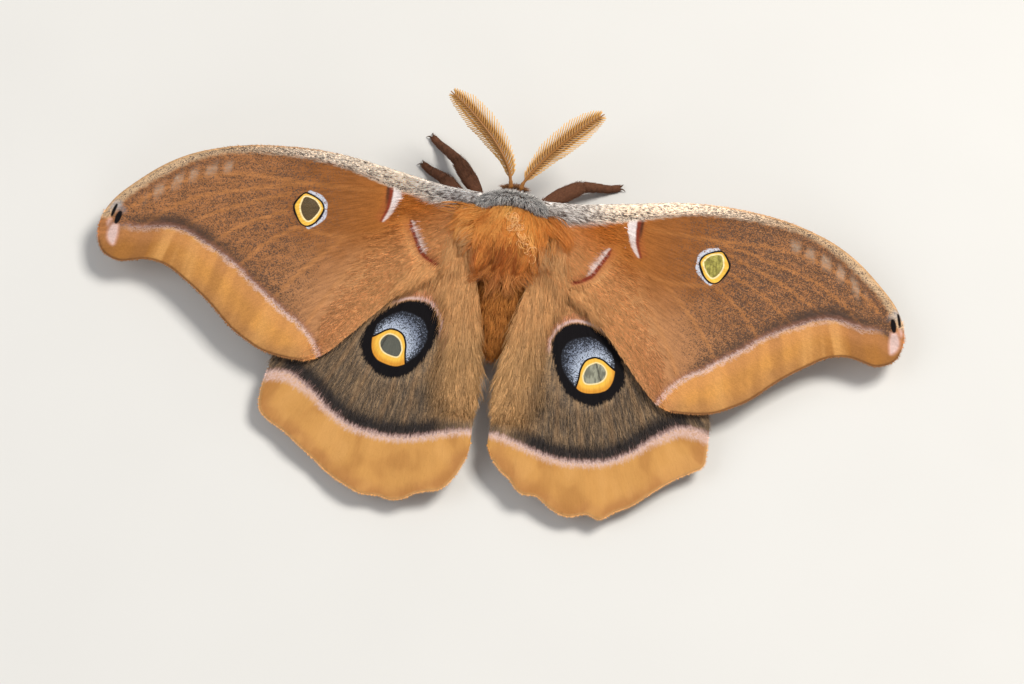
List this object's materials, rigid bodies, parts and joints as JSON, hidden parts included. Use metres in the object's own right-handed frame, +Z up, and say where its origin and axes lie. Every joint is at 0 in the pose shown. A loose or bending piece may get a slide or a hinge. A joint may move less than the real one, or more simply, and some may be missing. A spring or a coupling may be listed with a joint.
{
  "type": "polyphemus silk moth",
  "caption": "Large silk moth at rest with open eyespotted wings, feathered feelers and a shaggy coat, standing on its feet.",
  "frame": {"origin": "on the floor, under the middle of the bounding box", "axes": "+Y towards the head, +X towards the moth's right wings, +Z up, away from the floor"},
  "size_m": [0.1256, 0.0651, 0.0154],
  "materials": {
    "coat": "shaggy rust-brown hair, grey at the collar",
    "wings": "matt scales on a thin membrane, with clear eyespot windows",
    "legs": "short brown hair",
    "feelers": "golden, feathered",
    "eyes": "dark, faceted"
  },
  "bodies": {
    "root": {"head": "coat", "thorax": "coat", "abdomen": "coat", "eye_left": "eyes", "eye_right": "eyes", "antenna_left": "feelers", "antenna_right": "feelers", "forewing_left": "wings", "forewing_right": "wings", "hindwing_left": "wings", "hindwing_right": "wings", "leg_front_left": "legs", "leg_front_right": "legs", "leg_mid_left": "legs", "leg_mid_right": "legs", "leg_hind_left": "legs", "leg_hind_right": "legs"}
  },
  "joints": []
}
